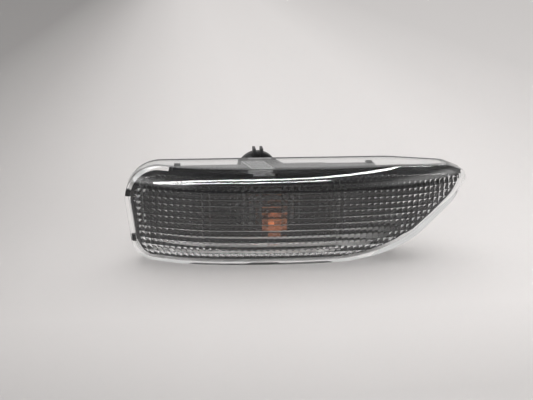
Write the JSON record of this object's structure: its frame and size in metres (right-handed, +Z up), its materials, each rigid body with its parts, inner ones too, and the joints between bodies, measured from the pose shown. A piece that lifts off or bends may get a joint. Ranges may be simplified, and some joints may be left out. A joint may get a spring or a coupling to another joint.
{
  "type": "vehicle indicator lamp",
  "caption": "Side indicator lamp for a car: clear lens with a pillow optic grid on a black housing, an amber wedge bulb in a turn-and-lock holder, and a connector socket.",
  "frame": {"origin": "on the seat plane of the lens's back edge, near the middle of the lens's height and of its length", "axes": "+X along the lamp towards its pointed nose, +Z up, +Y into the car's panel; the lens faces -Y"},
  "size_m": [0.1167, 0.0595, 0.0343],
  "materials": {
    "clear_lens": "clear, polished outside, pillow optics inside",
    "black_housing": "black, satin moulded",
    "grey_holder": "dark grey, satin moulded",
    "seal": "black, matte",
    "contact": "stamped strip",
    "amber_glass": "amber tinted, smooth",
    "filament": "coiled wire, dark",
    "lead_wire": "drawn wire"
  },
  "bodies": {
    "root": {"outer_lens": "clear_lens", "rear_housing": "black_housing", "bulb_holder": "grey_holder", "holder_seal": "seal", "contact_left": "contact", "contact_right": "contact", "bulb_glass": "amber_glass", "bulb_filament": "filament", "bulb_lead_left": "lead_wire", "bulb_lead_right": "lead_wire"}
  },
  "joints": []
}
